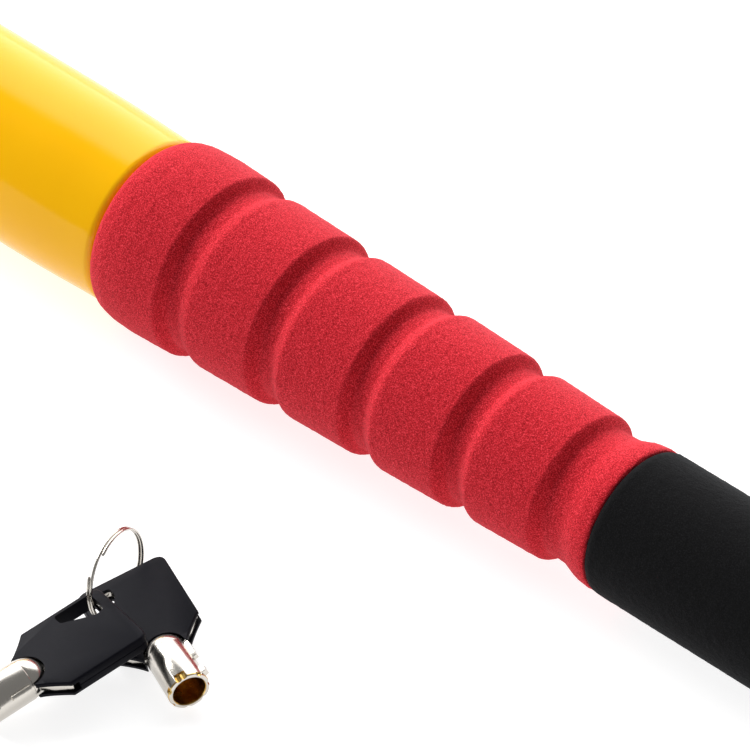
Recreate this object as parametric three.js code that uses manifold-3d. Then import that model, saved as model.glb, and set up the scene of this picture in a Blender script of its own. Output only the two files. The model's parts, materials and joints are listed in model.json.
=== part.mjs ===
// Bat-type steering wheel lock with two tubular keys on a split ring.
// Millimetres, +Z up. The bar lies along X with its head at -X and its butt at +X.
// While it is being built, the bar's axis is the X axis and x = 0 is the joint between
// the painted barrel and the first grip. At the end the whole model is moved so that
// the origin is at the bottom centre of its box.

import * as THREE from 'three';
import { mergeVertices } from 'three/addons/utils/BufferGeometryUtils.js';
import Module from 'manifold-3d';

const wasm = await Module();
wasm.setup();

// ---------------------------------------------------------------- driving dimensions

const GAP = 0.3; // between neighbouring pieces

const BARREL = { radius: 22.5, wall: 3, x0: -250, taperX: -28, mouthRadius: 21.75, round: 2.4 };
const BORE = BARREL.radius - BARREL.wall;
const INSIDE = BORE - GAP; // radius of the pieces that fill the barrel

const HEAD = { x: -262, capRadius: 24, capEnd: -236, edge: 3 };
const AXIS_HEIGHT = HEAD.capRadius; // the cap is the widest part, so it sets the height

const HANDLE = { radius: 11.1, wall: 2, x0: -62, x1: 300 };
const GRIP_BORE = HANDLE.radius + GAP;
const RED_GRIP = { x0: GAP, x1: 150.1, crownStart: 23.9, crownEnd: 18.5, endRadius: 18.2 };
const BLACK_GRIP = { x0: 150.4, x1: 292, radius: 18.3 };
const BUTT = { x0: 292.4, x1: 308, radius: 19.2, round: 5, stemX: 272 };

const SHACKLE = { rod: 6, bend: 28, longX: -188, bendY: 44, longEnd: -104, shortEnd: -5.5 };
const SHORT_X = SHACKLE.longX + 2 * SHACKLE.bend;
const SLEEVE = { radius: 8.5, end: 30 };
const NOTCH = { pitch: 8, count: 10, width: 5, depth: 3.6 };
const LEG_BORE = SHACKLE.rod + GAP;
const BUSH = { radius: 8, flange: 10.5, face: 25.5 };
const TILT = Math.asin((AXIS_HEIGHT - SLEEVE.radius) / (SHACKLE.bendY + SHACKLE.bend));

const PAD = { face: 28.5, halfWidth: 13, x0: -178, x1: -142, screwX: [-169, -151] };

const LOCK = { faceX: -262, noseRadius: 11, shoulderX: -249.6, backX: -230, plugRadius: 8 };
const KEYWAY = { outer: 5.15, inner: 3.7, depth: 5.5, pinCircle: 4.43, pins: 7 };
const DRUM = { radius: 6.5, x0: -227.6, x1: -207.6, groove: 2 };
const PAWL = { travel: 4, sleeveX: -219, solidX: -207.2, noseX: -204.7, tipX: -194.8, radius: 10.6 };
const FOLLOWER = { x: -215, radius: 1.5 };

const KEY = {
  length: 39.5, width: 22, thickness: 4.2, side: 20.8, shoulder: 27, radius: 5, bore: 3.9, dome: 4.9, notch: 5.5,
};
const RING = { radius: 10.65, wire: 0.36, turns: 1.92, pitch: 0.8 };

// How deep the milled cut for each lock pin is, and how far round from the bow's plane the ribs sit
const KEY_BITES = [2, 0.8, 1.1, 0.7, 1, 0.8, 1.2];
const KEY_RIB_ANGLE = 22;

// Where the keys and the ring lie, with the floor at z = 0 and x = 0, y = 0 under the joint
const FRONT_KEY = { tip: [69.33, -129.02, 5.05], yaw: -102.6, pitch: -10.3, roll: 7.5 };
const BACK_KEY = { tip: [100.93, -94.22, 6.25], yaw: -23.1, pitch: 0.8, roll: 13.3 };
const RING_PLACE = { centre: [66.63, -82.22, 11.7], azimuth: 12.7, elevation: 6, turn: 146 };

// ---------------------------------------------------------------- materials

const paint = (color, roughness, metalness = 0) =>
  new THREE.MeshStandardMaterial({ color, roughness, metalness });
const YELLOW = paint(0xfbbf10, 0.2);
const RED_FOAM = paint(0xbf2e36, 0.95);
const BLACK_FOAM = paint(0x1c1c1e, 0.95);
const BLACK_PLASTIC = paint(0x26242a, 0.5);
const STEEL = paint(0xb9bbbf, 0.3, 1);
const CHROME = paint(0xd8d8da, 0.12, 1);
const ZINC = paint(0x9a9c9f, 0.45, 1);
const BRASS = paint(0xc59a45, 0.3, 1);
const RUBBER = paint(0x1a1a1b, 0.8);
const SPRING_STEEL = paint(0x8b8d92, 0.35, 1);

// ---------------------------------------------------------------- geometry helpers

// A position-only indexed geometry with shared vertices, no slivers, and faces pointing out
function tidy(geometry) {
  const bare = geometry.clone();
  for (const name of Object.keys(bare.attributes)) {
    if (name !== 'position') bare.deleteAttribute(name);
  }
  const merged = mergeVertices(bare, 1e-4);
  const index = merged.index.array;
  const position = merged.attributes.position;
  const kept = [];
  let volume = 0;
  const [a, b, c] = [new THREE.Vector3(), new THREE.Vector3(), new THREE.Vector3()];
  for (let i = 0; i < index.length; i += 3) {
    const [p, q, r] = [index[i], index[i + 1], index[i + 2]];
    if (p === q || q === r || r === p) continue;
    kept.push([p, q, r]);
    a.fromBufferAttribute(position, p);
    b.fromBufferAttribute(position, q);
    c.fromBufferAttribute(position, r);
    volume += a.dot(b.cross(c));
  }
  if (volume < 0) kept.forEach((t) => t.reverse());
  merged.setIndex(kept.flat());
  return merged;
}

function toSolid(geometry) {
  const bare = tidy(geometry);
  const vertProperties = new Float32Array(bare.attributes.position.array);
  const triVerts = new Uint32Array(bare.index.array);
  return new wasm.Manifold(new wasm.Mesh({ numProp: 3, vertProperties, triVerts }));
}

function toGeometry(solid) {
  const mesh = solid.getMesh();
  const geometry = new THREE.BufferGeometry();
  const positions = new THREE.BufferAttribute(new Float32Array(mesh.vertProperties), 3);
  geometry.setAttribute('position', positions);
  geometry.setIndex(Array.from(mesh.triVerts));
  return geometry;
}

function join(first, ...others) {
  return toGeometry(others.reduce((sum, piece) => sum.add(toSolid(piece)), toSolid(first)));
}

function cut(body, ...tools) {
  return toGeometry(tools.reduce((rest, tool) => rest.subtract(toSolid(tool)), toSolid(body)));
}

// A solid of revolution about X from a list of [x, radius]
function turned(profile, segments = 28) {
  const points = profile.map(([x, radius]) => new THREE.Vector2(radius, x));
  return new THREE.LatheGeometry(points, segments).rotateZ(-Math.PI / 2);
}

// Points of an arc in a profile, angles in degrees from +x towards +radius
function arc(x, radius, size, from, to, steps = 4) {
  return Array.from({ length: steps + 1 }, (_, i) => {
    const angle = THREE.MathUtils.degToRad(from + ((to - from) * i) / steps);
    return [x + size * Math.cos(angle), radius + size * Math.sin(angle)];
  });
}

function rodX(radius, x0, x1, y = 0, z = 0, segments = 24) {
  return new THREE.CylinderGeometry(radius, radius, x1 - x0, segments)
    .rotateZ(-Math.PI / 2)
    .translate((x0 + x1) / 2, y, z);
}

function rodY(radius, y0, y1, x, z = 0, segments = 18) {
  return new THREE.CylinderGeometry(radius, radius, y1 - y0, segments)
    .translate(x, (y0 + y1) / 2, z);
}

function rodZ(radius, z0, z1, x, y = 0, segments = 16) {
  return new THREE.CylinderGeometry(radius, radius, z1 - z0, segments)
    .rotateX(Math.PI / 2)
    .translate(x, y, (z0 + z1) / 2);
}

function block(x0, x1, y0, y1, z0, z1) {
  return new THREE.BoxGeometry(x1 - x0, y1 - y0, z1 - z0)
    .translate((x0 + x1) / 2, (y0 + y1) / 2, (z0 + z1) / 2);
}

// A washer or tube about X
function sleeveX(inner, outer, x0, x1, segments = 24) {
  return turned([[x0, inner], [x0, outer], [x1, outer], [x1, inner], [x0, inner]], segments);
}

// A round bar along a curve
function bar(curve, radius, steps, sides = 16) {
  const section = new THREE.Shape();
  section.absarc(0, 0, radius, 0, 2 * Math.PI);
  const options = { steps, extrudePath: curve, curveSegments: sides / 2, bevelEnabled: false };
  return new THREE.ExtrudeGeometry(section, options);
}

// A flat plate with its outline in X and Y, centred on z = 0
function plate(outline, thickness, holes = []) {
  const shape = outline instanceof THREE.Shape ? outline : new THREE.Shape(outline);
  shape.holes.push(...holes);
  const options = { depth: thickness, bevelEnabled: false, curveSegments: 6 };
  return new THREE.ExtrudeGeometry(shape, options).translate(0, 0, -thickness / 2);
}

// A curve given by a function of 0..1
class Path extends THREE.Curve {
  constructor(pointAt) {
    super();
    this.pointAt = pointAt;
  }

  getPoint(t, target = new THREE.Vector3()) {
    return target.copy(this.pointAt(t));
  }
}

const model = new THREE.Group();
const lock = new THREE.Group(); // the bar and everything in it, on its axis
const head = new THREE.Group(); // rolled so that the shackle's bend lies on the floor
head.rotation.x = -TILT;
lock.position.z = AXIS_HEIGHT;
lock.add(head);
model.add(lock);

function piece(name, geometry, material, group) {
  const mesh = new THREE.Mesh(tidy(geometry), material);
  mesh.name = name;
  group.add(mesh);
  return mesh;
}

// ---------------------------------------------------------------- barrel and handle

// Radial dowels in pairs, above and below: [name, x, inner end]
const DOWELS = [['body_dowel', -240, 13], ['housing_dowel', -181.5, 12], ['socket_dowel', -144, 12]];
const DOWEL_RADIUS = 2;

function barrelTube() {
  const { radius, x0, taperX, mouthRadius, round } = BARREL;
  const tube = turned([
    [x0, BORE], [x0, radius - 0.6], [x0 + 0.6, radius], [taperX, radius], [taperX / 2, 22.15],
    ...arc(-round, mouthRadius - round, round, 90, 0),
    [0, 18.2], [-1.5, 18.2], [-2.6, BORE], [x0, BORE],
  ], 36);
  const holes = [
    rodY(BUSH.radius + GAP, -30, 30, SHACKLE.longX),
    rodY(BUSH.radius + GAP, 0, 30, SHORT_X),
    ...PAD.screwX.map((x) => rodY(2.3, 0, 30, x, 0, 16)),
    ...DOWELS.map(([, x]) => rodZ(DOWEL_RADIUS + GAP, -30, 30, x)),
  ];
  return cut(tube, ...holes);
}

function dowels() {
  for (const [name, x, inner] of DOWELS) {
    const outer = BARREL.radius - 0.4;
    piece(`${name}_top`, rodZ(DOWEL_RADIUS, inner, outer, x), STEEL, head);
    piece(`${name}_bottom`, rodZ(DOWEL_RADIUS, -outer, -inner, x), STEEL, head);
  }
}

const dowelHoles = (index) => {
  const [, x, inner] = DOWELS[index];
  return [rodZ(DOWEL_RADIUS + GAP, inner - GAP, 30, x), rodZ(DOWEL_RADIUS + GAP, -30, GAP - inner, x)];
};

// Five finger grooves: each crown runs nearly level and drops steeply at its far end
function redGripProfile() {
  const { x0, x1, crownStart, crownEnd, endRadius } = RED_GRIP;
  const pitch = 28.9;
  const firstWall = 21.7;
  const points = [[x0, 21.3], [2, 22.7], [5, 23.6], [9, crownStart]];
  for (let i = 0; i < 5; i += 1) {
    const wall = firstWall + i * pitch;
    const share = (x) => (x - 9) / (x1 - 9);
    const crown = (x) => THREE.MathUtils.lerp(crownStart, crownEnd, share(x));
    const floor = crown(wall) - 2.3;
    points.push(
      [wall - 4, crown(wall - 4) - 0.1], [wall, crown(wall) - 0.8], [wall + 2.6, floor],
      [wall + 6.2, floor], [wall + 8.8, crown(wall + 9) - 1.1], [wall + 11.5, crown(wall + 11.5)],
    );
  }
  const last = points.findIndex(([x]) => x > x1 - 2);
  const ended = last < 0 ? points : points.slice(0, last);
  ended.push([x1, endRadius], [x1, GRIP_BORE], [x0, GRIP_BORE], [x0, 21.3]);
  return ended;
}

function blackGripProfile() {
  const { x0, x1, radius } = BLACK_GRIP;
  return [
    [x0, GRIP_BORE], [x0, radius - 0.4], [x0 + 0.4, radius],
    ...arc(x1 - 1.5, radius - 1.5, 1.5, 90, 0), [x1, GRIP_BORE], [x0, GRIP_BORE],
  ];
}

function buttCapProfile() {
  const { x0, x1, radius, round, stemX } = BUTT;
  const stem = HANDLE.radius - HANDLE.wall - GAP;
  return [
    [stemX, 0], [stemX, stem - 1], [stemX + 1, stem], [HANDLE.x1 + GAP, stem],
    [HANDLE.x1 + GAP, GRIP_BORE], [x0, GRIP_BORE], [x0, radius - 0.5], [x0 + 0.5, radius],
    ...arc(x1 - round, radius - round, round, 90, 0), [x1, 0],
  ];
}

function handleParts() {
  const inner = HANDLE.radius - HANDLE.wall;
  piece('handle_tube', sleeveX(inner, HANDLE.radius, HANDLE.x0, HANDLE.x1), STEEL, lock);
  piece('reducer_ring_inner', sleeveX(GRIP_BORE, INSIDE, -60, -54), STEEL, lock);
  piece('reducer_ring_rear', sleeveX(GRIP_BORE, INSIDE, -9, -3), STEEL, lock);
  piece('red_grip', turned(redGripProfile(), 20), RED_FOAM, lock);
  piece('black_grip', turned(blackGripProfile(), 24), BLACK_FOAM, lock);
  piece('butt_cap', turned(buttCapProfile(), 24), BLACK_PLASTIC, lock);
}

// ---------------------------------------------------------------- lock cylinder and pawl

function headCap() {
  const { x, capRadius, capEnd, edge } = HEAD;
  const hole = LOCK.noseRadius + GAP;
  const skirt = BARREL.radius + GAP;
  return turned([
    [x, hole], [x, capRadius - edge], ...arc(x + edge, capRadius - edge, edge, 180, 90),
    [capEnd - 0.8, capRadius], [capEnd, capRadius - 0.8], [capEnd, skirt], [x + 11.7, skirt],
    [x + 11.7, hole], [x, hole],
  ], 32);
}

function lockBody() {
  const { faceX, noseRadius, shoulderX, backX, plugRadius } = LOCK;
  const body = turned([
    [faceX, plugRadius + GAP], [faceX, noseRadius - 0.6], [faceX + 0.6, noseRadius],
    [shoulderX, noseRadius], [shoulderX, INSIDE], [backX, INSIDE], [backX, 4 + GAP],
    [-237.7, 4 + GAP], [-237.7, plugRadius + GAP], [faceX, plugRadius + GAP],
  ]);
  return cut(body, ...dowelHoles(0));
}

const pinAngle = (index) => ((index + 0.5) / KEYWAY.pins) * 2 * Math.PI;
const onPinCircle = (index) => [
  KEYWAY.pinCircle * Math.sin(pinAngle(index)), KEYWAY.pinCircle * Math.cos(pinAngle(index)),
];

function lockPlug() {
  const { faceX, plugRadius } = LOCK;
  const floorX = faceX + 0.4 + KEYWAY.depth;
  const plug = turned([
    [faceX + 0.4, 0], [faceX + 0.4, KEYWAY.inner], [floorX, KEYWAY.inner], [floorX, KEYWAY.outer],
    [faceX + 0.4, KEYWAY.outer], [faceX + 0.4, plugRadius - 0.3], [faceX + 0.7, plugRadius],
    [-238, plugRadius], [-238, 4], [-229.4, 4], [-229.4, 3.2], [-228.2, 3.2], [-228.2, 4],
    [-227.9, 4], [-227.9, 0],
  ]);
  const bores = Array.from({ length: KEYWAY.pins }, (_, i) =>
    rodX(1.15, faceX + 2.2, floorX + 9.5, ...onPinCircle(i), 10));
  const lugSlot = block(faceX - 1, floorX - 2, -0.9, 0.9, 4.5, 6.2);
  const tongue = block(-228.5, -223.4, -2.2, 2.2, -1.3, 1.3);
  return join(cut(plug, ...bores, lugSlot), tongue);
}

function lockPins() {
  for (let i = 0; i < KEYWAY.pins; i += 1) {
    const [y, z] = onPinCircle(i);
    const front = LOCK.faceX + 2.6;
    piece(`lock_pin_${i + 1}`, rodX(0.85, front, front + 9.5, y, z, 10), BRASS, head);
  }
}

// The groove climbs along X as the drum turns under the follower, which stays on top
function camDrum() {
  const { radius, x0, x1, groove } = DRUM;
  const steps = 9;
  const cutters = Array.from({ length: steps + 1 }, (_, i) => {
    const turn = THREE.MathUtils.lerp(-6, 96, i / steps);
    const x = FOLLOWER.x + (PAWL.travel * turn) / 90;
    return rodZ(FOLLOWER.radius + GAP, radius - groove, radius + 2, x, 0, 10)
      .rotateX(-THREE.MathUtils.degToRad(turn));
  });
  const socket = block(x0 - 1, -223, -2.5, 2.5, -1.6, 1.6);
  return cut(rodX(radius, x0, x1, 0, 0, 28), socket, ...cutters);
}

function pawl() {
  const { sleeveX: x0, solidX, noseX, tipX, radius } = PAWL;
  const shell = turned([
    [x0, DRUM.radius + GAP], [x0, radius], [noseX, radius], [noseX, 0], [solidX, 0],
    [solidX, DRUM.radius + GAP], [x0, DRUM.radius + GAP],
  ], 32);
  const nose = block(noseX - 1, tipX, -2.2, 2.2, -5, 5);
  const pinHole = rodZ(FOLLOWER.radius + GAP, 5, 15, FOLLOWER.x, 0, 12);
  return cut(join(shell, nose), pinHole);
}

function pawlSpring() {
  const turns = 4.5;
  const [start, end] = [LOCK.backX + 0.9, PAWL.sleeveX - 0.9];
  const coil = new Path((t) => {
    const angle = 2 * Math.PI * turns * t;
    const x = THREE.MathUtils.lerp(start, end, t);
    return new THREE.Vector3(x, 8.7 * Math.cos(angle), 8.7 * Math.sin(angle));
  });
  return bar(coil, 0.5, 54, 6);
}

function pawlHousing() {
  const cavity = PAWL.radius + GAP;
  const housing = rodX(INSIDE, LOCK.backX + GAP, -176.5, 0, 0, 28);
  return cut(
    housing,
    rodX(cavity, LOCK.backX - 1, PAWL.noseX + PAWL.travel + GAP, 0, 0, 32),
    block(-205, SHACKLE.longX, -2.5, 2.5, -5.3, 5.3),
    rodY(LEG_BORE, -25, 25, SHACKLE.longX),
    ...dowelHoles(1),
  );
}

function lockParts() {
  piece('head_cap', headCap(), BLACK_PLASTIC, head);
  piece('lock_body', lockBody(), CHROME, head);
  piece('lock_plug', lockPlug(), CHROME, head);
  lockPins();
  piece('plug_circlip', cut(sleeveX(3.5, 6, -229.1, -228.5, 24), block(-230, -228, -1, 1, 0, 8)),
    SPRING_STEEL, head);
  piece('cam_drum', camDrum(), STEEL, head);
  piece('pawl', pawl(), STEEL, head);
  piece('follower_pin', rodZ(FOLLOWER.radius, DRUM.radius - DRUM.groove + GAP, 10.4, FOLLOWER.x, 0, 12),
    STEEL, head);
  piece('pawl_spring', pawlSpring(), SPRING_STEEL, head);
  piece('pawl_housing', pawlHousing(), ZINC, head);
}

// ---------------------------------------------------------------- shackle and its guides

// The rod's centre line: down the short leg, round the bend and along the long leg
function shackleCurve(shortEnd, longEnd) {
  const { longX, bend, bendY } = SHACKLE;
  const lengths = [bendY - shortEnd, Math.PI * bend, bendY - longEnd];
  const total = lengths[0] + lengths[1] + lengths[2];
  return new Path((t) => {
    const along = t * total;
    if (along <= lengths[0]) return new THREE.Vector3(SHORT_X, shortEnd + along, 0);
    if (along >= lengths[0] + lengths[1]) {
      return new THREE.Vector3(longX, bendY - (along - lengths[0] - lengths[1]), 0);
    }
    const angle = (along - lengths[0]) / bend;
    const x = longX + bend + bend * Math.cos(angle);
    return new THREE.Vector3(x, bendY + bend * Math.sin(angle), 0);
  });
}

function shackle() {
  const { rod, longX, longEnd, shortEnd } = SHACKLE;
  const body = bar(shackleCurve(shortEnd, longEnd), rod, 36, 12);
  const notches = Array.from({ length: NOTCH.count }, (_, i) => {
    const y = -i * NOTCH.pitch;
    const x = longX - rod;
    return block(x - 1, x + NOTCH.depth, y - NOTCH.width / 2, y + NOTCH.width / 2, -8, 8);
  });
  const ringGroove = cut(
    rodY(rod + 1, longEnd + 3, longEnd + 4.6, longX, 0, 16),
    rodY(rod - 1, longEnd + 2, longEnd + 5, longX, 0, 16),
  );
  return cut(body, ...notches, ringGroove);
}

function legBush(x, side) {
  const [from, face] = [INSIDE + 0.7, BUSH.face];
  const flange = cut(
    rodY(BUSH.flange, 15, face, x),
    rodX(BARREL.radius + GAP, x - 30, x + 30, 0, 0, 32),
  );
  const bush = cut(join(flange, rodY(BUSH.radius, from, face - 0.5, x)), rodY(LEG_BORE, 0, 40, x));
  return side > 0 ? bush : bush.rotateX(Math.PI);
}

function rimPad() {
  return cut(
    block(PAD.x0, PAD.x1, 15, PAD.face, -PAD.halfWidth, PAD.halfWidth),
    rodX(BARREL.radius + GAP, PAD.x0 - 5, PAD.x1 + 5, 0, 0, 48),
    rodY(BUSH.flange + GAP, 10, 40, SHACKLE.longX),
    rodY(BUSH.flange + GAP, 10, 40, SHORT_X),
    ...PAD.screwX.flatMap((x) => [rodY(2.3, 0, 40, x, 0, 16), rodY(3.8, 24.8, 40, x, 0, 16)]),
  );
}

function padScrew(x) {
  const body = join(rodY(2, 14, 26, x, 0, 16), rodY(3.5, 25.1, 27.2, x, 0, 16));
  return cut(body, rodY(1.3, 26.2, 30, x, 0, 6));
}

function shackleParts() {
  const { rod, longX, longEnd } = SHACKLE;
  piece('shackle', shackle(), STEEL, head);
  const line = shackleCurve(SLEEVE.end, SLEEVE.end);
  const sheath = cut(bar(line, SLEEVE.radius, 18, 12), bar(shackleCurve(20, 20), rod + 2 * GAP, 20, 12));
  piece('shackle_sleeve', sheath, RUBBER, head);
  const ring = cut(
    rodY(rod + 2.2, longEnd + 3.3, longEnd + 4.3, longX),
    rodY(rod - 0.7, longEnd, longEnd + 8, longX),
    block(longX - 1, longX + 1, longEnd, longEnd + 8, 0, 10),
  );
  piece('stop_ring', ring, SPRING_STEEL, head);
  piece('long_leg_bush_front', legBush(longX, 1), ZINC, head);
  piece('long_leg_bush_back', legBush(longX, -1), ZINC, head);
  piece('short_leg_bush', legBush(SHORT_X, 1), ZINC, head);
  const socket = rodX(INSIDE, -148.5, -120, 0, 0, 28);
  const socketBore = rodY(LEG_BORE, SHACKLE.shortEnd - 2.5, 25, SHORT_X);
  piece('short_leg_socket', cut(socket, socketBore, ...dowelHoles(2)), ZINC, head);
  piece('rim_pad', rimPad(), RUBBER, head);
  PAD.screwX.forEach((x, i) => piece(`pad_screw_${i + 1}`, padScrew(x), STEEL, head));
}

// ---------------------------------------------------------------- keys and split ring

// Key frame: the tube's tip is at the origin, the key runs back along -X, its bow lies in X and Y
const fromEnd = (distance) => distance - KEY.length;

// The bow: a rounded rectangle whose sides curve in to the tube, with a notch round it
function bowOutline(inset) {
  const half = KEY.width / 2 - inset;
  const end = fromEnd(inset);
  const side = fromEnd(KEY.side);
  const tip = fromEnd(KEY.shoulder);
  const corner = 2.4;
  const shape = new THREE.Shape();
  shape.moveTo(end, -half + corner);
  shape.quadraticCurveTo(end, -half, end + corner, -half);
  shape.lineTo(side, -half);
  shape.quadraticCurveTo(side + 3.4, -half + 3.6, tip, -KEY.radius - 0.4);
  shape.lineTo(tip, KEY.radius + 0.4);
  shape.quadraticCurveTo(side + 3.4, half - 3.6, side, half);
  shape.lineTo(end + corner, half);
  shape.quadraticCurveTo(end, half, end, half - corner);
  return shape;
}

// The triangular ring hole in one corner of the bow
function ringHole(grow = 0) {
  const side = -KEY.width / 2;
  const corners = [[12, 1.4 - grow], [2.8 - grow, 1.4 - grow], [2.8 - grow, 7.4], [4.9, 7.7 + grow]];
  const far = [12 + 2 * grow, 3.8 + grow];
  return [...corners, far].map(([x, y]) => new THREE.Vector2(fromEnd(x), side + y));
}

function keyBow() {
  const notch = join(
    rodX(KEY.notch, fromEnd(KEY.shoulder), 2, 0, 0, 24),
    new THREE.SphereGeometry(KEY.notch, 24, 12).rotateZ(Math.PI / 2).translate(fromEnd(KEY.shoulder), 0, 0),
  );
  const pocket = plate(bowOutline(1.2), 2.2);
  const slit = block(fromEnd(KEY.side - 2), 2, -KEY.width, KEY.width, -1.1, 1.1);
  return cut(plate(bowOutline(0), KEY.thickness), notch, pocket, slit, plate(ringHole(), 10));
}

function keyShank() {
  const { radius, bore, dome } = KEY;
  const step = fromEnd(KEY.shoulder + 0.1);
  const crown = [0, 1, 2, 3].map((i) => {
    const angle = i * Math.PI / 8;
    return [step - dome * Math.cos(angle), dome * Math.sin(angle)];
  });
  const tube = turned([
    ...crown, [step, dome], [step + 0.1, radius], [-0.4, radius],
    [0, radius - 0.4], [0, bore], [-11, bore], [-12.5, 0],
  ], 24);
  const half = KEY.width / 2;
  const edge = [
    [fromEnd(2), half - 1.6], [fromEnd(19.2), half - 1.6], [fromEnd(20.4), half - 0.5],
    [fromEnd(23.8), 7.5], [fromEnd(26.2), 4.6],
  ];
  const otherEdge = edge.map(([x, y]) => [x, -y]).reverse();
  const tang = plate([...edge, ...otherEdge].map(([x, y]) => new THREE.Vector2(x, y)), 1.6);
  const ribAt = (x0, x1, thick) =>
    block(x0, x1, radius - 1, radius + 0.9, -thick / 2, thick / 2).rotateX(rad(KEY_RIB_ANGLE));
  const ribs = [ribAt(-3.1, -1, 1.6), ribAt(fromEnd(28), fromEnd(33), 1.2)];
  const bites = KEY_BITES.map((length, i) => {
    const angle = 2 * Math.PI * i / KEY_BITES.length - rad(11);
    return rodX(i === 0 ? 1.2 : 0.75, -length, 1, radius * Math.sin(angle), radius * Math.cos(angle), 8);
  });
  return join(cut(tube, ...bites), cut(tang, plate(ringHole(0.3), 10)), ...ribs);
}

// Two turns of flat wire, a little apart, about its own X axis
function splitRing() {
  const { radius, turns, pitch, wire } = RING;
  const coil = new Path((t) => {
    const angle = 2 * Math.PI * turns * t;
    const x = pitch * turns * (t - 0.5);
    return new THREE.Vector3(x, radius * Math.cos(angle), radius * Math.sin(angle));
  });
  return bar(coil, wire, 52, 6);
}

const rad = THREE.MathUtils.degToRad;

function keyPlace({ tip, yaw, pitch, roll }) {
  const group = new THREE.Group();
  group.position.set(...tip);
  group.rotation.set(rad(roll), -rad(pitch), rad(yaw), 'ZYX');
  model.add(group);
  return group;
}

function keyParts() {
  for (const [name, place] of [['front_key', FRONT_KEY], ['back_key', BACK_KEY]]) {
    const group = keyPlace(place);
    piece(`${name}_shank`, keyShank(), CHROME, group);
    piece(`${name}_bow`, keyBow(), BLACK_PLASTIC, group);
  }
  const ring = new THREE.Group();
  ring.position.set(...RING_PLACE.centre);
  ring.rotation.set(rad(RING_PLACE.turn), -rad(RING_PLACE.elevation), rad(RING_PLACE.azimuth), 'ZYX');
  model.add(ring);
  piece('split_ring', splitRing(), CHROME, ring);
}

// ---------------------------------------------------------------- assembly

piece('barrel_tube', barrelTube(), YELLOW, head);
handleParts();
dowels();
lockParts();
shackleParts();
keyParts();

// The origin goes to the bottom centre of the whole object's box
const box = new THREE.Box3().setFromObject(model, true);
const centre = box.getCenter(new THREE.Vector3());
model.position.set(-centre.x, -centre.y, -box.min.z);

export default model;
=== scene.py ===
import json
import math

import bmesh
import bpy
from mathutils import Matrix, Quaternion, Vector, noise


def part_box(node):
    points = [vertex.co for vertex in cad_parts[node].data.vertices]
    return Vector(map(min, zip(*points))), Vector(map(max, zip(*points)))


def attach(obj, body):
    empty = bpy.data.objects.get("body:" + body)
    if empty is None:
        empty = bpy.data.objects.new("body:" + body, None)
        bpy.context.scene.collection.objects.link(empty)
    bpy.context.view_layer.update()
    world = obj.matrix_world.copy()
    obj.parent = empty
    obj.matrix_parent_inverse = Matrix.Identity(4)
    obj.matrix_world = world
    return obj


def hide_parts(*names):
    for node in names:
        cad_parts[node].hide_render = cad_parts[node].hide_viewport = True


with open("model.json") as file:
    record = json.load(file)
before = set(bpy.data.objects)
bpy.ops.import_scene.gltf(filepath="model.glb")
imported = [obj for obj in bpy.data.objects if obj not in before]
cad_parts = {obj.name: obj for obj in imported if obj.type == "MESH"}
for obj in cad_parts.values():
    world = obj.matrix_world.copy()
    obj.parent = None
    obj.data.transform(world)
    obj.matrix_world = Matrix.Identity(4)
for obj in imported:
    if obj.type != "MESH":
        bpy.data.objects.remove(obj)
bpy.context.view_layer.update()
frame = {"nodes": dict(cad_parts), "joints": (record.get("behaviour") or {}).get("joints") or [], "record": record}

# The looks of a bat-type steering wheel lock with two tubular keys on a split ring.
# Every piece is made in millimetres in its own local frame, as listed under "places",
# and moved into the row frame (metres) when it is finished.

# ------------------------------------------------------------------ driving dimensions

GAP = 0.3
AXIS_HEIGHT = 24.0

BARREL = {"radius": 22.5, "bore": 19.5, "x0": -250.0, "taper": -28.0, "mouth": 21.75, "round": 2.4}
HEAD_CAP = {"x0": -262.0, "x1": -236.0, "radius": 24.0, "edge": 3.0}
GRIP_BORE = 11.4
RED = {"x0": 0.3, "x1": 150.1, "end": 18.2, "first_wall": 22.2, "pitch": 28.0}
BULGE_STARTS = (22.5, 21.3, 20.4, 19.15)
BULGE_ENDS = (23.55, 22.0, 20.75, 19.75, 18.5)
GROOVE_FLOORS = (21.0, 19.4, 18.4, 17.1, 16.1)
BLACK = {"x0": 150.4, "x1": 292.0, "radius": 18.3}
BUTT = {
    "x0": 292.4, "x1": 308.0, "radius": 19.2, "round": 5.0,
    "stem": 8.8, "stem_x": 272.0, "tube_x": 300.3,
}

SHACKLE = {
    "rod": 6.0, "bend": 28.0, "long_x": -188.0, "bend_y": 44.0,
    "long_end": -104.0, "short_end": -5.5,
}
SHORT_X = SHACKLE["long_x"] + 2 * SHACKLE["bend"]
SLEEVE = {"radius": 8.5, "end": 30.0}
NOTCH = {"pitch": 8.0, "count": 10, "width": 5.0, "depth": 3.6}
BUSH = {"radius": 8.0, "flange": 10.5, "face": 25.5}
PAD = {"face": 28.5, "half": 13.0, "x0": -178.0, "x1": -142.0, "screws": (-169.0, -151.0)}
DOWEL = {"xs": (-240.0, -181.5, -144.0), "radius": 2.0}

# Keys are measured back from the bow's ring end; "side" is where its straight sides end
KEY = {
    "length": 39.5, "half": 11.0, "thick": 4.2, "side": 20.8, "shoulder": 27.0,
    "radius": 5.0, "bore": 3.9,
}
# The tube's domed base and the round notch in the bow that takes it
SHANK = {"step": 27.1, "dome": 4.9, "notch": 5.5, "rib_angle": 22, "rib_height": 0.9, "edge": 0.12}
TANG = ((2.0, 9.4), (19.2, 9.4), (20.4, 10.5), (23.8, 7.5), (26.2, 4.6))
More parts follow.
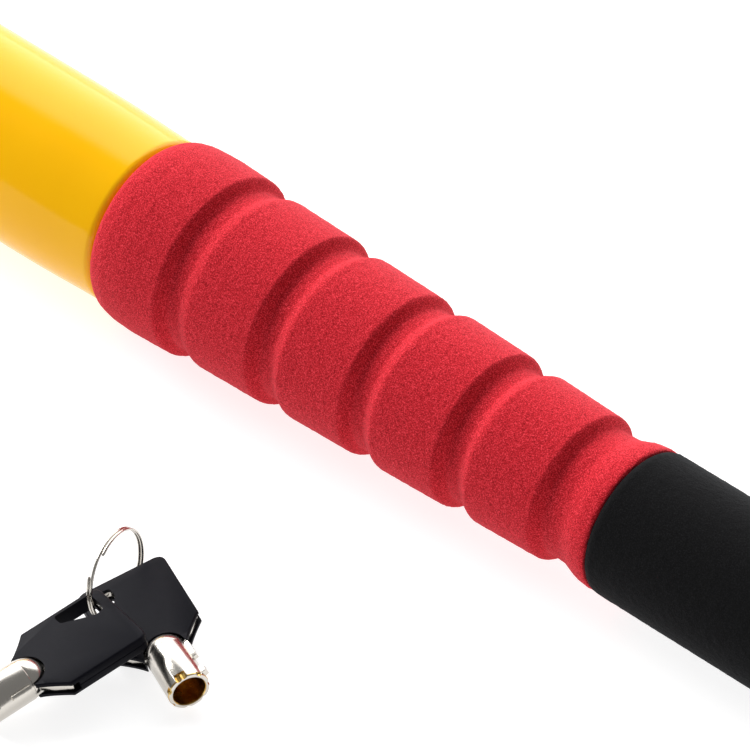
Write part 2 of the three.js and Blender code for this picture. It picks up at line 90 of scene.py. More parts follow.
# How deep each milled cut in the tube's rim is; they are set round from the bow's face
BITES = (2.0, 0.8, 1.1, 0.7, 1.0, 0.8, 1.2)
BITE = {"radius": 0.85, "outset": 0.3, "turn": -8, "spread": 0.13}
RING = {"radius": 10.65, "wire": 0.36, "turns": 1.92, "pitch": 0.8}
FRONT_KEY = {"tip": (69.33, -129.02, 5.05), "yaw": -102.6, "pitch": -10.3, "roll": 7.5}
BACK_KEY = {"tip": (100.93, -94.22, 6.25), "yaw": -23.1, "pitch": 0.8, "roll": 13.3}
RING_PLACE = {"tip": (66.63, -82.22, 11.7), "yaw": 12.7, "pitch": 6.0, "roll": 146.0}

# ------------------------------------------------------------------ places

MM = 0.001
JOINTS = {joint["name"]: joint for joint in frame["joints"]}
AXIS = Vector(JOINTS["plug_turn"]["pos_m"])
SLIDE = Vector(JOINTS["shackle_slide"]["axis"])
JOINT_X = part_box("red_grip")[0].x - GAP * MM

BAR = Matrix.Translation((JOINT_X, AXIS.y, AXIS.z)) @ Matrix.Scale(MM, 4)
HEAD = BAR @ Matrix.Rotation(math.atan2(SLIDE.z, SLIDE.y), 4, "X")
FLOOR = Matrix.Translation((JOINT_X, AXIS.y, AXIS.z - AXIS_HEIGHT * MM)) @ Matrix.Scale(MM, 4)


def lying(place):
    turn = Matrix.Rotation(math.radians(place["yaw"]), 4, "Z")
    turn = turn @ Matrix.Rotation(-math.radians(place["pitch"]), 4, "Y")
    turn = turn @ Matrix.Rotation(math.radians(place["roll"]), 4, "X")
    return FLOOR @ Matrix.Translation(place["tip"]) @ turn


# ------------------------------------------------------------------ mesh helpers


def raw(name, points, faces):
    mesh = bpy.data.meshes.new(name)
    mesh.from_pydata(points, [], faces)
    work = bmesh.new()
    work.from_mesh(mesh)
    bmesh.ops.recalc_face_normals(work, faces=work.faces)
    work.to_mesh(mesh)
    work.free()
    obj = bpy.data.objects.new(name, mesh)
    bpy.context.scene.collection.objects.link(obj)
    return obj


def bridge(rings, closed):
    """Faces between neighbouring rings of vertex numbers; a ring may be one repeated vertex."""
    followers = rings[1:] + rings[:1] if closed else rings[1:]
    faces = []
    for a, b in zip(rings, followers):
        for i in range(len(a)):
            j = (i + 1) % len(a)
            corners = dict.fromkeys((a[i], a[j], b[j], b[i]))
            if len(corners) > 2:
                faces.append(tuple(corners))
    return faces


def turned(name, profile, segments=144):
    """A solid of revolution about X. The profile of (x, radius) ends on the axis or where it starts."""
    closed = profile[0] == profile[-1]
    points = []
    rings = []
    for x, radius in profile[:-1] if closed else profile:
        first = len(points)
        if radius < 1e-6:
            points.append((x, 0, 0))
            rings.append([first] * segments)
            continue
        for i in range(segments):
            angle = math.tau * i / segments
            points.append((x, radius * math.cos(angle), radius * math.sin(angle)))
        rings.append(list(range(first, first + segments)))
    return raw(name, points, bridge(rings, closed))


def stacked(name, levels):
    """A solid from outlines with the same number of points, one at each height z."""
    points = []
    rings = []
    for z, outline in levels:
        first = len(points)
        points += [(x, y, z) for x, y in outline]
        rings.append(list(range(first, len(points))))
    faces = bridge(rings, False) + [tuple(reversed(rings[0])), tuple(rings[-1])]
    return raw(name, points, faces)


def swept(name, path, section):
    """A solid along a path, its section of (u, v) kept from twisting."""
    path = [Vector(p) for p in path]
    steps = [(b - a).normalized() for a, b in zip(path, path[1:])]
    tangents = [steps[0]] + [(a + b).normalized() for a, b in zip(steps, steps[1:])] + [steps[-1]]
    side = tangents[0].orthogonal().normalized()
    points = []
    rings = []
    for point, tangent in zip(path, tangents):
        side = (side - tangent * side.dot(tangent)).normalized()
        up = tangent.cross(side)
        first = len(points)
        points += [point + side * u + up * v for u, v in section(len(rings) / (len(path) - 1))]
        rings.append(list(range(first, len(points))))
    faces = bridge(rings, False) + [tuple(reversed(rings[0])), tuple(rings[-1])]
    return raw(name, points, faces)


def circle(radius, count=32):
    return [
        (radius * math.cos(math.tau * i / count), radius * math.sin(math.tau * i / count))
        for i in range(count)
    ]


def rod(radius, start, end, count=40):
    return swept("rod", [start, end], lambda share: circle(radius, count))


def rod_y(radius, y0, y1, x, z=0.0, count=40):
    return rod(radius, (x, y0, z), (x, y1, z), count)


def rod_z(radius, z0, z1, x, y=0.0, count=32):
    return rod(radius, (x, y, z0), (x, y, z1), count)


def block(x0, x1, y0, y1, z0, z1):
    outline = [(x0, y0), (x1, y0), (x1, y1), (x0, y1)]
    return stacked("block", [(z0, outline), (z1, outline)])


def arc(x, radius, size, start, end, steps=8):
    """Profile points round a corner, angles in degrees from +x towards +radius."""
    angles = [math.radians(start + (end - start) * i / steps) for i in range(steps + 1)]
    return [(x + size * math.cos(a), radius + size * math.sin(a)) for a in angles]


def apply(obj):
    graph = bpy.context.evaluated_depsgraph_get()
    mesh = bpy.data.meshes.new_from_object(obj.evaluated_get(graph))
    obj.modifiers.clear()
    obj.data = mesh
    return obj


def combined(obj, tools, operation):
    for tool in tools:
        step = obj.modifiers.new("combine", "BOOLEAN")
        step.object = tool
        step.operation = operation
        step.solver = "EXACT"
    apply(obj)
    for tool in tools:
        bpy.data.objects.remove(tool)
    return obj


def cut(obj, *tools):
    return combined(obj, tools, "DIFFERENCE")


def joined(obj, *tools):
    return combined(obj, tools, "UNION")


def bevelled(obj, width, segments=2, angle=35):
    step = obj.modifiers.new("bevel", "BEVEL")
    step.width = width
    step.segments = segments
    step.limit_method = "ANGLE"
    step.angle_limit = math.radians(angle)
    step.miter_outer = "MITER_ARC"
    return apply(obj)


def placed(obj, name, place, materials, body, slot, *nodes, sharp=32):
    """Moves a finished piece into the row frame, and gives it its name, materials and body."""
    obj.name = name
    obj.data.transform(place)
    obj.data.shade_smooth()
    obj.data.set_sharp_from_angle(angle=math.radians(sharp))
    if not obj.data.materials:
        for material in materials:
            obj.data.materials.append(material)
    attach(obj, body)
    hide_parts(*nodes)
    return obj


# ------------------------------------------------------------------ material helpers


class Finish:
    """A node material round one Principled shader, its patterns in object coordinates (metres)."""

    def __init__(self, name, color, **sockets):
        self.material = bpy.data.materials.new(name)
        self.material.use_nodes = True
        self.nodes = self.material.node_tree.nodes
        self.links = self.material.node_tree.links
        self.shader = self.nodes["Principled BSDF"]
        self.shader.inputs["Base Color"].default_value = (*color, 1)
        for socket, value in sockets.items():
            label = socket.replace("_", " ").title().replace("Ior", "IOR")
            self.shader.inputs[label].default_value = value
        self.place = self.nodes.new("ShaderNodeTexCoord").outputs["Object"]

    def stretched(self, scale, turn=(0, 0, 0)):
        mapping = self.nodes.new("ShaderNodeMapping")
        mapping.inputs["Scale"].default_value = scale
        mapping.inputs["Rotation"].default_value = turn
        self.links.new(self.place, mapping.inputs["Vector"])
        return mapping.outputs["Vector"]

    def noise(self, size, detail=2.0, rough=0.5, place=None):
        """Noise whose lumps are about size millimetres across."""
        node = self.nodes.new("ShaderNodeTexNoise")
        node.inputs["Scale"].default_value = 1 / (size * MM)
        node.inputs["Detail"].default_value = detail
        node.inputs["Roughness"].default_value = rough
        self.links.new(place or self.place, node.inputs["Vector"])
        return node.outputs["Fac"]

    def cells(self, size):
        node = self.nodes.new("ShaderNodeTexVoronoi")
        node.inputs["Scale"].default_value = 1 / (size * MM)
        self.links.new(self.place, node.inputs["Vector"])
        return node.outputs["Distance"]

    def ramp(self, value, stops):
        node = self.nodes.new("ShaderNodeValToRGB")
        elements = node.color_ramp.elements
        while len(elements) < len(stops):
            elements.new(0.5)
        for element, (position, color) in zip(elements, stops):
            element.position = position
            element.color = (*color, 1) if len(color) == 3 else color
        self.links.new(value, node.inputs["Fac"])
        return node.outputs["Color"]

    def mixed(self, share, a, b):
        node = self.nodes.new("ShaderNodeMix")
        node.data_type = "RGBA"
        self.links.new(share, node.inputs["Factor"])
        self.links.new(a, node.inputs[6])
        self.links.new(b, node.inputs[7])
        return node.outputs[2]

    def spread(self, value, low, high):
        node = self.nodes.new("ShaderNodeMapRange")
        node.inputs["To Min"].default_value = low
        node.inputs["To Max"].default_value = high
        self.links.new(value, node.inputs["Value"])
        return node.outputs["Result"]

    def color(self, value):
        self.links.new(value, self.shader.inputs["Base Color"])
        return self

    def roughness(self, value, low, high):
        self.links.new(self.spread(value, low, high), self.shader.inputs["Roughness"])
        return self

    def bump(self, height, depth, strength=1.0):
        """Relief of that height pattern, depth in millimetres; calls add up."""
        node = self.nodes.new("ShaderNodeBump")
        node.inputs["Strength"].default_value = strength
        node.inputs["Distance"].default_value = depth * MM
        self.links.new(height, node.inputs["Height"])
        normal = self.shader.inputs["Normal"]
        if normal.links:
            self.links.new(normal.links[0].from_socket, node.inputs["Normal"])
        self.links.new(node.outputs["Normal"], normal)
        return self


def srgb(r, g, b):
    """Linear colour from 8-bit display values."""
    def linear(value):
        value /= 255
        return value / 12.92 if value < 0.04045 else ((value + 0.055) / 1.055) ** 2.4

    return (linear(r), linear(g), linear(b))


# ------------------------------------------------------------------ materials


def gloss_paint():
    finish = Finish("yellow_paint", srgb(253, 188, 2), roughness=0.22, specular_ior_level=0.22)
    clouds = finish.noise(60, 3)
    finish.color(finish.ramp(clouds, [(0.3, srgb(252, 185, 1)), (0.7, srgb(254, 192, 2))]))
    finish.roughness(finish.noise(4, 3), 0.1, 0.18)
    return finish.bump(finish.noise(2.2, 1), 0.01).material


def foam(name, dark, mid, light, tint):
    finish = Finish(
        name, mid, roughness=0.95, specular_ior_level=0.12, sheen_weight=0.2, sheen_roughness=0.5,
    )
    finish.shader.inputs["Sheen Tint"].default_value = (*tint, 1)
    grain = finish.noise(0.3, 2.5, 0.6)
    finish.color(finish.ramp(grain, [(0.34, dark), (0.5, mid), (0.68, light)]))
    finish.bump(finish.cells(0.7), 0.08, 0.5)
    return finish.bump(grain, 0.1, 0.7).material


def moulded_plastic(name, color, grain):
    finish = Finish(name, color, roughness=0.5, specular_ior_level=0.07)
    finish.roughness(finish.noise(1.5, 3), 0.42, 0.56)
    return finish.bump(finish.noise(grain, 2), 0.02, 0.6).material


def nickel():
    finish = Finish("nickel_plate", srgb(205, 200, 192), metallic=1.0, roughness=0.2)
    drawn = finish.noise(0.25, 3, 0.6, finish.stretched((1, 1, 0.12)))
    finish.roughness(drawn, 0.14, 0.3)
    finish.bump(finish.noise(0.5, 3), 0.008)
    return finish.bump(finish.noise(1.6, 2), 0.008).material


def brass():
    finish = Finish("brass_edge", srgb(214, 176, 92), metallic=1.0, roughness=0.22)
    stains = finish.noise(2.5, 4)
    finish.color(finish.ramp(stains, [(0.35, srgb(170, 120, 44)), (0.65, srgb(228, 196, 120))]))
    finish.roughness(stains, 0.16, 0.34)
    return finish.bump(finish.noise(0.3, 2), 0.004).material


def plated_steel(name, color, low, high, grain=0.5):
    finish = Finish(name, color, metallic=1.0, roughness=0.3)
    streaks = finish.noise(grain, 4, 0.6, finish.stretched((0.08, 1, 1)))
    finish.roughness(streaks, low, high)
    tone = [c * 0.82 for c in color]
    finish.color(finish.ramp(finish.noise(14, 4), [(0.35, tone), (0.65, color)]))
    return finish.bump(streaks, 0.01, 0.5).material


def cast_zinc():
    finish = Finish("cast_zinc", srgb(158, 160, 164), metallic=1.0, roughness=0.45)
    finish.roughness(finish.noise(1.2, 3), 0.38, 0.6)
    return finish.bump(finish.noise(0.8, 3), 0.03, 0.6).material


def rubber(name, color):
    finish = Finish(name, color, roughness=0.7, specular_ior_level=0.35)
    finish.roughness(finish.noise(3, 3), 0.58, 0.8)
    return finish.bump(finish.noise(0.5, 3), 0.03, 0.6).material


MATERIALS = {
    "yellow_paint": gloss_paint(),
    "red_foam": foam(
        "red_foam", srgb(138, 13, 22), srgb(196, 30, 41), srgb(238, 66, 79), srgb(255, 150, 160),
    ),
    "black_foam": foam("black_foam", srgb(4, 4, 4), srgb(8, 8, 9), srgb(22, 22, 23), srgb(90, 92, 96)),
    "black_plastic": moulded_plastic("black_plastic", srgb(15, 15, 22), 0.35),
    "steel": plated_steel("zinc_plated_steel", srgb(196, 198, 202), 0.18, 0.4),
    "chrome": nickel(),
    "zinc": cast_zinc(),
    "brass": brass(),
    "rubber": rubber("black_rubber", srgb(26, 26, 27)),
    "spring_steel": plated_steel("oiled_spring_steel", srgb(120, 121, 126), 0.25, 0.42),
}


def carried_over():
    """CAD nodes that stay on show: their record slot's finish, welded and smooth between sharp edges."""
    for part in frame["record"]["subparts"]:
        obj = frame["nodes"][part["node"]]
        obj.data.materials.clear()
        obj.data.materials.append(MATERIALS[part["material_slot"]])
        for attribute in ("custom_normal", "sharp_edge", "sharp_face"):
            if attribute in obj.data.attributes:
                obj.data.attributes.remove(obj.data.attributes[attribute])
        obj.data.shade_smooth()
        weld = obj.modifiers.new("weld", "WELD")
        weld.merge_threshold = 2e-6
        split = obj.modifiers.new("edges", "EDGE_SPLIT")
        split.split_angle = math.radians(32)


# ------------------------------------------------------------------ barrel and handle


def barrel():
    radius, bore, x0 = BARREL["radius"], BARREL["bore"], BARREL["x0"]
    mouth, lip = BARREL["mouth"], BARREL["round"]
    tube = turned("barrel", [
        (x0, bore), (x0, radius - 0.6), (x0 + 0.2, radius - 0.2), (x0 + 0.6, radius),
        (-120, radius), (BARREL["taper"], radius), (-21, 22.38), (BARREL["taper"] / 2, 22.15), (-7, 21.88),
        *arc(-lip, mouth - lip, lip, 90, 0, 14),
        (-0.2, 18.4), (-0.6, 18.2), (-1.5, 18.2), (-2.6, bore), (x0, bore),
    ], 192)
    holes = [
        rod_y(BUSH["radius"] + GAP, -30, 30, SHACKLE["long_x"]),
        rod_y(BUSH["radius"] + GAP, 0, 30, SHORT_X),
        *[rod_y(2.3, 5, 30, x) for x in PAD["screws"]],
        *[rod_z(DOWEL["radius"] + GAP, -30, 30, x) for x in DOWEL["xs"]],
    ]
    cut(tube, *holes)
    placed(tube, "barrel", HEAD, [MATERIALS["yellow_paint"]], "bar", "yellow_paint", "barrel_tube")


def rounded(points, step, width):
    """The polyline resampled every step and averaged over width, which rounds its corners."""
    x0, x1 = points[0][0], points[-1][0]

    def height(x):
        for (xa, ra), (xb, rb) in zip(points, points[1:]):
            if x <= xb:
                return ra + (rb - ra) * (x - xa) / (xb - xa)
        return points[-1][1]

    taps = 9
    result = []
    for i in range(round((x1 - x0) / step) + 1):
        x = x0 + (x1 - x0) * i / round((x1 - x0) / step)
        reach = min(width, x - x0, x1 - x)
        near = [height(x + reach * (2 * k / (taps - 1) - 1)) for k in range(taps)]
        result.append((x, sum(near) / taps))
    return result


def red_profile():
    """The grip's outer line: five bulges, each dropping by a wall into a flat-floored groove."""
    wall, pitch = RED["first_wall"], RED["pitch"]
    points = [(RED["x0"], 21.9), (1.6, 23.0), (5.0, 23.75), (11.0, 24.0)]
    for i, (end, floor) in enumerate(zip(BULGE_ENDS, GROOVE_FLOORS)):
        x = wall + i * pitch
        points += [(x + 0.2, end), (x + 1.7, floor)]
        if i < len(BULGE_STARTS):
            points += [(x + 6.0, floor + 0.1), (x + 9.2, BULGE_STARTS[i])]
    x1, end = RED["x1"], RED["end"]
    points += [(141.6, 16.3), (146.2, 17.9), (x1 - 0.6, end + 0.05), (x1, end - 0.3)]
    return rounded(points, 0.36, 0.65)


def grained(obj, size, depth, smooth_end=None):
    """Moves the outer skin in and out a little, like the open cells of foam."""
    for vertex in obj.data.vertices:
        radius = math.hypot(vertex.co.y, vertex.co.z)
        if radius < GRIP_BORE + 1:
            continue
        swell = noise.noise(vertex.co / size) + 0.5 * noise.noise(vertex.co / (size * 0.45))
        share = 1 + depth * swell / radius
        vertex.co.y *= share
        vertex.co.z *= share


def grips():
    profile = red_profile()
    inner = [(RED["x1"], GRIP_BORE), (RED["x0"], GRIP_BORE), profile[0]]
    red = turned("red", profile + inner, 300)
    grained(red, 1.1, 0.09)
    placed(red, "red_foam_grip", BAR, [MATERIALS["red_foam"]], "bar", "red_foam", "red_grip", sharp=60)

    x0, x1, radius = BLACK["x0"], BLACK["x1"], BLACK["radius"]
    ends = [(x0, radius - 0.8), (x0 + 0.8, radius), (x1 - 1.8, radius), (x1, radius - 1.8)]
    skin = rounded(ends, 0.5, 0.9)
    black = turned("black", skin + [(x1, GRIP_BORE), (x0, GRIP_BORE), skin[0]], 240)
    grained(black, 1.1, 0.07)
    placed(
        black, "black_foam_grip", BAR, [MATERIALS["black_foam"]], "bar", "black_foam", "black_grip", sharp=60,
    )


def butt():
    x0, x1, radius = BUTT["x0"], BUTT["x1"], BUTT["radius"]
    size, stem, start, stop = BUTT["round"], BUTT["stem"], BUTT["stem_x"], BUTT["tube_x"]
    cap = turned("butt", [
        (start, 0), (start, stem - 1), (start + 1, stem), (stop, stem), (stop, GRIP_BORE),
        (x0, GRIP_BORE), (x0, radius - 0.5), (x0 + 0.15, radius - 0.15), (x0 + 0.5, radius),
        (x0 + 2.6, radius), *arc(x0 + 3.3, radius, 0.7, 180, 360), (x0 + 4.0, radius),
        *arc(x1 - size, radius - size, size, 90, 0, 14), (x1, 6.0), (x1 - 0.5, 5.2), (x1 - 0.5, 0),
    ], 144)
    placed(cap, "butt_end_cap", BAR, [MATERIALS["black_plastic"]], "bar", "black_plastic", "butt_cap")


# ------------------------------------------------------------------ head


def head_cover():
    x0, x1, radius, edge = HEAD_CAP["x0"], HEAD_CAP["x1"], HEAD_CAP["radius"], HEAD_CAP["edge"]
    hole, skirt = 11.3, 22.8
    grooves = []
    for x in (x1 - 8.6, x1 - 6.2, x1 - 3.8):
        grooves += [(x - 0.6, radius), *arc(x, radius, 0.6, 180, 360, 6), (x + 0.6, radius)]
    cap = turned("cap", [
        (x0 + 0.6, hole), (x0, hole + 0.6), (x0, 15.0), (x0 + 0.6, 15.5), (x0 + 0.6, 16.3), (x0, 16.8),
        (x0, radius - edge), *arc(x0 + edge, radius - edge, edge, 180, 90, 12), *grooves,
        (x1 - 0.8, radius), (x1 - 0.2, radius - 0.2), (x1, radius - 0.8), (x1, skirt),
        (x0 + 11.7, skirt), (x0 + 11.7, hole), (x0 + 0.6, hole),
    ], 160)
    placed(cap, "head_cover", HEAD, [MATERIALS["black_plastic"]], "bar", "black_plastic", "head_cap")


def shackle_line(short_end, long_end, bend_steps=48):
    """The rod's centre line: up the short leg, round the bend and down the long leg."""
    long_x, bend, bend_y = SHACKLE["long_x"], SHACKLE["bend"], SHACKLE["bend_y"]
    line = [(SHORT_X, short_end, 0)]
    for i in range(bend_steps + 1):
        angle = math.pi * i / bend_steps
        line.append((long_x + bend + bend * math.cos(angle), bend_y + bend * math.sin(angle), 0))
    line.append((long_x, long_end, 0))
    return line


def with_ends(line, inset):
    """The line with extra points just inside its ends, for rounded tips."""
    first, last = Vector(line[0]), Vector(line[-1])
    start = first + (Vector(line[1]) - first).normalized() * inset
    end = last + (Vector(line[-2]) - last).normalized() * inset
    return [first, start, *line[1:-1], end, last]


def shackle():
    radius, long_x = SHACKLE["rod"], SHACKLE["long_x"]
    line = with_ends(shackle_line(SHACKLE["short_end"], SHACKLE["long_end"]), 0.8)
    steel = swept("shackle", line, lambda share: circle(radius - 0.8 if share in (0, 1) else radius, 48))
    notches = []
    for i in range(NOTCH["count"]):
        y = -i * NOTCH["pitch"]
        x = long_x - radius
        half = NOTCH["width"] / 2
        notches.append(block(x - 1, x + NOTCH["depth"], y - half, y + half, -8, 8))
    end = SHACKLE["long_end"]
    groove = cut(rod_y(radius + 1, end + 3, end + 4.6, long_x), rod_y(radius - 1, end + 2, end + 5, long_x))
    cut(steel, *notches, groove)
    bevelled(steel, 0.3)
    placed(steel, "steel_shackle", HEAD, [MATERIALS["steel"]], "shackle", "steel", "shackle")

    radius, end = SLEEVE["radius"], SLEEVE["end"]
    line = with_ends(shackle_line(end, end), 1.0)
    shell = swept("sleeve", line, lambda share: circle(radius - 0.8 if share in (0, 1) else radius, 48))
    bore = swept("bore", shackle_line(end - 8, end - 8), lambda share: circle(SHACKLE["rod"] + 0.15, 48))
    cut(shell, bore)
    placed(shell, "vinyl_sleeve", HEAD, [MATERIALS["rubber"]], "shackle", "rubber", "shackle_sleeve")


def bush(name, x, side, node):
    face = BUSH["face"]
    flange = rod_y(BUSH["flange"], 15, face, x, count=72)
    cut(flange, rod(BARREL["radius"] + GAP, (x - 30, 0, 0), (x + 30, 0, 0), 144))
    body = joined(flange, rod_y(BUSH["radius"], BARREL["bore"] + 0.4, face - 0.5, x, count=64))
    cut(body, rod_y(SHACKLE["rod"] + GAP, 0, 40, x, count=64))
    bevelled(body, 0.5, 3)
    if side < 0:
        body.data.transform(Matrix.Rotation(math.pi, 4, "X"))
    placed(body, name, HEAD, [MATERIALS["zinc"]], "bar", "zinc", node)


def rounded_block(x0, x1, y0, y1, half, corner):
    outline = []
    for cx, cy, start in ((x1, half, 0), (x0, half, 90), (x0, -half, 180), (x1, -half, 270)):
        sx = -1 if cx == x1 else 1
        sy = -1 if cy > 0 else 1
        outline += arc(cx + sx * corner, cy + sy * corner, corner, start, start + 90, 6)
    body = stacked("pad", [(y0, outline), (y1, outline)])
    body.data.transform(Matrix.Rotation(-math.pi / 2, 4, "X"))
    return body


def pad():
    x0, x1, half, face = PAD["x0"], PAD["x1"], PAD["half"], PAD["face"]
    body = rounded_block(x0, x1, 15, face, half, 2.0)
    tools = [rod(BARREL["radius"] + GAP, (x0 - 5, 0, 0), (x1 + 5, 0, 0), 144)]
    for x in (SHACKLE["long_x"], SHORT_X):
        tools.append(rod_y(BUSH["flange"] + GAP, 10, 40, x, count=72))
    for x in PAD["screws"]:
        tools += [rod_y(2.3, 0, 40, x), rod_y(3.8, 24.8, 40, x)]
    for z in (-10, -7.5, 7.5, 10):
        tools.append(block(x0 - 1, x1 + 1, face - 0.7, face + 1, z - 0.45, z + 0.45))
    cut(body, *tools)
    bevelled(body, 0.25)
    placed(body, "rim_pad_rubber", HEAD, [MATERIALS["rubber"]], "bar", "rubber", "rim_pad")


def stop_ring():
    long_x, end, radius = SHACKLE["long_x"], SHACKLE["long_end"], SHACKLE["rod"]
    ring = rod_y(radius + 2.2, end + 3.3, end + 4.3, long_x, count=72)
    cut(ring, rod_y(radius - 0.7, end, end + 8, long_x), block(long_x - 1, long_x + 1, end, end + 8, 0, 10))
    bevelled(ring, 0.15)
    placed(
        ring, "spring_stop_ring", HEAD, [MATERIALS["spring_steel"]], "shackle", "spring_steel", "stop_ring",
    )


def head():
    head_cover()
    shackle()
    bush("bush_front", SHACKLE["long_x"], 1, "long_leg_bush_front")
    bush("bush_back", SHACKLE["long_x"], -1, "long_leg_bush_back")
    bush("bush_short", SHORT_X, 1, "short_leg_bush")
    pad()
    stop_ring()


# ------------------------------------------------------------------ keys and split ring


def from_end(distance):
    """x in a key's frame at that distance from the bow's end; the tube's tip is at 0."""
    return distance - KEY["length"]


def curve(start, control, end, steps):
    """Points after start on a quadratic curve."""
    a, b, c = Vector(start), Vector(control), Vector(end)
    shares = [i / steps for i in range(1, steps + 1)]
    return [tuple(a * (1 - t) ** 2 + b * (2 * t * (1 - t)) + c * t * t) for t in shares]


def bow_outline(inset):
    """Half a rounded rectangle whose side curves in to the tube, and its mirror."""
    half = KEY["half"] - inset
    end = from_end(inset)
    side = from_end(KEY["side"])
    tip = from_end(KEY["shoulder"]) - inset * 0.5
    corner = 2.4
    lower = [(end, -half + corner)]
    lower += curve(lower[-1], (end, -half), (end + corner, -half), 8)
    lower.append((side, -half))
    lower += curve(lower[-1], (side + 3.4, -half + 3.6), (tip, -KEY["radius"] - 0.4), 12)
    return lower + [(x, -y) for x, y in reversed(lower)]


def ring_hole(grow=0.0, rounding=0.8):
    """The rounded triangular slot in one corner of the bow."""
    low = 1.4 - grow
    back = 2.8 - grow
    front = 12 + 2 * grow
    corners = [(front, low), (front, 3.8 + grow), (4.9, 7.7 + grow), (back, 7.4), (back, low)]
    corners = [Vector((from_end(x), y - KEY["half"])) for x, y in corners]
    outline = []
    for i, corner in enumerate(corners):
        before = corner + (corners[i - 1] - corner).normalized() * rounding
        after = corner + (corners[(i + 1) % len(corners)] - corner).normalized() * rounding
        outline += [tuple(before), *curve(before, corner, after, 5)]
    return outline


def plate(outline, z0, z1):
    return stacked("plate", [(z0, outline), (z1, outline)])


def key_bow(name, place, body, node):
    top = KEY["thick"] / 2
    seam = 0.14
    half = [(top, 0.45), (top - 0.12, 0.2), (top - 0.4, 0.0), (seam, 0.0), (0.0, 0.16)]
    levels = [(z, bow_outline(inset)) for z, inset in half]
    levels += [(-z, bow_outline(inset)) for z, inset in reversed(half[:-1])]
    bow = stacked("bow", levels)
    notch = SHANK["notch"]
    round_end = arc(from_end(KEY["shoulder"]), 0, notch, 180, 90, 16)
    tunnel = turned("notch", [*round_end, (2, notch), (2, 0)], 72)
    pocket = plate(bow_outline(1.2), -1.1, 1.1)
    slit = block(from_end(KEY["side"] - 2), 2, -12, 12, -1.1, 1.1)
    cut(bow, pocket, slit, plate(ring_hole(0.25), -5, 5), tunnel)
    placed(bow, name, place, [MATERIALS["black_plastic"]], body, "black_plastic", node, sharp=40)


def bites():
    """The milled cuts in the tube's rim, one for each lock pin; the first is a deep double one."""
    reach = KEY["radius"] + BITE["outset"]
    tools = []
    for i, length in enumerate(BITES):
        middle = math.tau * i / len(BITES) + math.radians(BITE["turn"])
        for offset in (-BITE["spread"], BITE["spread"]) if i == 0 else (0,):
            y, z = reach * math.sin(middle + offset), reach * math.cos(middle + offset)
            tools.append(rod(BITE["radius"], (-length, y, z), (1, y, z), 24))
    return tools


def key_tube():
    radius, bore, edge, dome = KEY["radius"], KEY["bore"], SHANK["edge"], SHANK["dome"]
    step = from_end(SHANK["step"])
    quarter = [math.pi / 2 * i / 10 for i in range(11)]
    tube = turned("tube", [
        *[(step - dome * math.cos(a), dome * math.sin(a)) for a in quarter],
        (step, radius - edge), (step + edge, radius), (-0.45, radius), (-edge, radius - edge),
        (0, radius - 0.4), (0, bore + 0.2), (-0.2, bore), (-11, bore), (-12.4, 0),
    ], 96)
    cut(tube, *bites())
    return tube


def key_ridge(x0, x1, half_width):
    """A rib on the tube's side, by the plane of the bow."""
    radius = KEY["radius"]
    ridge = block(x0, x1, radius - 1, radius + SHANK["rib_height"], -half_width, half_width)
    ridge.data.transform(Matrix.Rotation(math.radians(SHANK["rib_angle"]), 4, "X"))
    return ridge


def brass_where_cut(tube):
    """The plating is gone in the milled cuts and the bore, which show the brass."""
    radius, bore = KEY["radius"], KEY["bore"]
    for face in tube.data.polygons:
        reach = math.hypot(face.center.y, face.center.z)
        milled = face.center.x > -2.1 and reach < radius - 0.06 and abs(face.normal.x) < 0.8
        in_bore = face.center.x > -13 and reach < bore + 0.15
        back_wall = -2.3 < face.center.x < -0.6 and face.normal.x > 0.8 and reach < radius
        face.material_index = 1 if milled or in_bore or back_wall else 0


def key_shank(name, place, body, node):
    """The tube, and the flat tang that runs from it up inside the bow."""
    tube = key_tube()
    half = [(from_end(x), y) for x, y in TANG]
    tang = plate([(x, -y) for x, y in half] + half[::-1], -0.8, 0.8)
    cut(tang, plate(ring_hole(0.5), -5, 5))
    joined(tube, tang, key_ridge(-3.1, -1.0, 0.8), key_ridge(from_end(28), from_end(33), 0.6))
    bevelled(tube, 0.08)
    tube.data.materials.append(MATERIALS["chrome"])
    tube.data.materials.append(MATERIALS["brass"])
    brass_where_cut(tube)
    placed(tube, name, place, [], body, "chrome", node, sharp=35)


def split_ring():
    radius, turns, pitch, wire = RING["radius"], RING["turns"], RING["pitch"], RING["wire"]
    steps = 260
    line = []
    for i in range(steps + 1):
        angle = math.tau * turns * i / steps
        line.append((pitch * turns * (i / steps - 0.5), radius * math.cos(angle), radius * math.sin(angle)))

    def section(share):
        ends = min(1.0, min(share, 1 - share) * 140 + 0.55)
        return circle(wire * ends, 20)

    ring = swept("ring", line, section)
    place = lying(RING_PLACE)
    placed(ring, "key_split_ring", place, [MATERIALS["chrome"]], "key_ring", "chrome", "split_ring", sharp=50)


def keys():
    for label, place in (("front_key", FRONT_KEY), ("back_key", BACK_KEY)):
        key_bow(f"{label}_handle", lying(place), label, f"{label}_bow")
        key_shank(f"{label}_tube", lying(place), label, f"{label}_shank")
    split_ring()


# ------------------------------------------------------------------ stage, lights and camera

# "edge" is how far from its middle the bright part of the sky ends, as a cosine
SKY = {"towards": (-0.55, 0.75, 0.35), "edge": (0.62, 0.78), "levels": (0.25, 3.0)}
LAMP = {"towards": (-0.85, -0.1, 0.52), "energy": 3.2, "spread": 30}
CAMERA = {
    "aim": (56.55, 16.25, 0.0), "azimuth": 41.985, "elevation": 42.4, "roll": 0.34,
    "distance": 1.4242, "lens": 288.0,
}
PAPER = {"size": 6.0, "grey": 0.42, "glow": 0.82}


def away(azimuth, elevation):
    """The direction from the object towards a viewer at that azimuth and elevation."""
    a, e = math.radians(azimuth), math.radians(elevation)
    return Vector((math.sin(a) * math.cos(e), -math.cos(a) * math.cos(e), math.sin(e)))


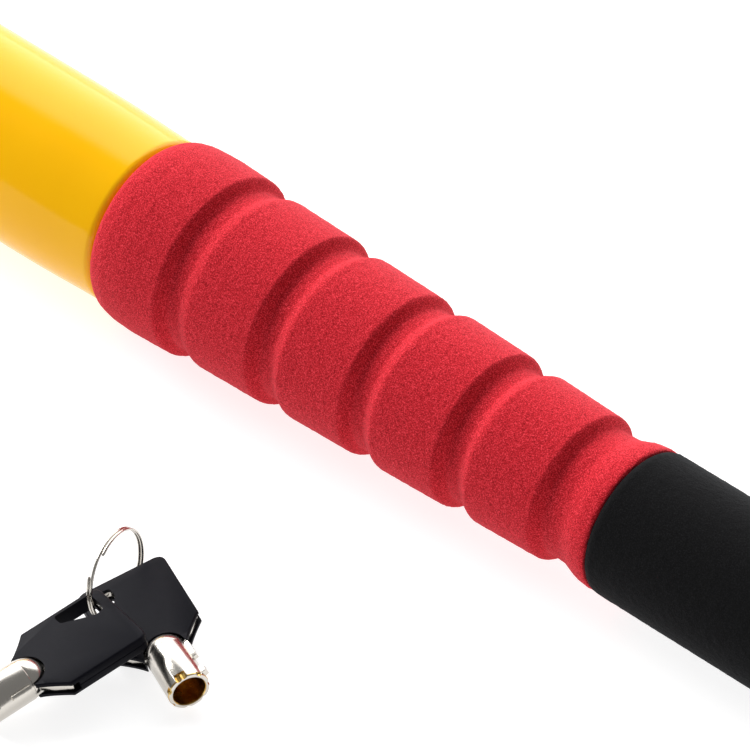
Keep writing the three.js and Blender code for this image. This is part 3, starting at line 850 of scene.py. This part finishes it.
def camera():
    data = bpy.data.cameras.new("camera")
    data.lens = CAMERA["lens"]
    data.sensor_width = 36.0
    data.clip_end = 20.0
    obj = bpy.data.objects.new("camera", data)
    bpy.context.scene.collection.objects.link(obj)
    back = away(CAMERA["azimuth"], CAMERA["elevation"])
    obj.location = FLOOR @ Vector(CAMERA["aim"]) + back * CAMERA["distance"]
    obj.rotation_mode = "QUATERNION"
    roll = Quaternion((0, 0, 1), math.radians(CAMERA["roll"]))
    obj.rotation_quaternion = (-back).to_track_quat("-Z", "Y") @ roll
    bpy.context.scene.camera = obj


def sky():
    """A studio with one broad bright wall behind and to the left, and dim everywhere else."""
    world = bpy.data.worlds.new("studio")
    bpy.context.scene.world = world
    world.use_nodes = True
    nodes, links = world.node_tree.nodes, world.node_tree.links
    facing = nodes.new("ShaderNodeVectorMath")
    facing.operation = "DOT_PRODUCT"
    facing.inputs[1].default_value = Vector(SKY["towards"]).normalized()
    links.new(nodes.new("ShaderNodeTexCoord").outputs["Generated"], facing.inputs[0])
    level = nodes.new("ShaderNodeMapRange")
    level.interpolation_type = "SMOOTHSTEP"
    level.inputs["From Min"].default_value, level.inputs["From Max"].default_value = SKY["edge"]
    level.inputs["To Min"].default_value, level.inputs["To Max"].default_value = SKY["levels"]
    links.new(facing.outputs["Value"], level.inputs["Value"])
    nodes["Background"].inputs["Color"].default_value = (1, 1, 1, 1)
    links.new(level.outputs["Result"], nodes["Background"].inputs["Strength"])


def lamp():
    """A soft lamp, up on the viewer's left."""
    data = bpy.data.lights.new("lamp", "SUN")
    data.energy = LAMP["energy"]
    data.angle = math.radians(LAMP["spread"])
    obj = bpy.data.objects.new("lamp", data)
    bpy.context.scene.collection.objects.link(obj)
    obj.rotation_mode = "QUATERNION"
    obj.rotation_quaternion = Vector(LAMP["towards"]).to_track_quat("Z", "Y")


def stage():
    size = PAPER["size"]
    corners = [(-size, -size, 0), (size, -size, 0), (size, size, 0), (-size, size, 0)]
    floor = raw("floor", corners, [(0, 1, 2, 3)])
    paper = Finish("white_paper", (PAPER["grey"],) * 3, roughness=0.9, emission_strength=PAPER["glow"])
    paper.shader.inputs["Emission Color"].default_value = (1, 1, 1, 1)
    paper.bump(paper.noise(3, 2), 0.01)
    floor.data.materials.append(paper.material)
    bpy.context.scene.view_settings.view_transform = "Standard"


# ------------------------------------------------------------------ the scene

camera()
sky()
lamp()
stage()
carried_over()
barrel()
grips()
butt()
head()
keys()
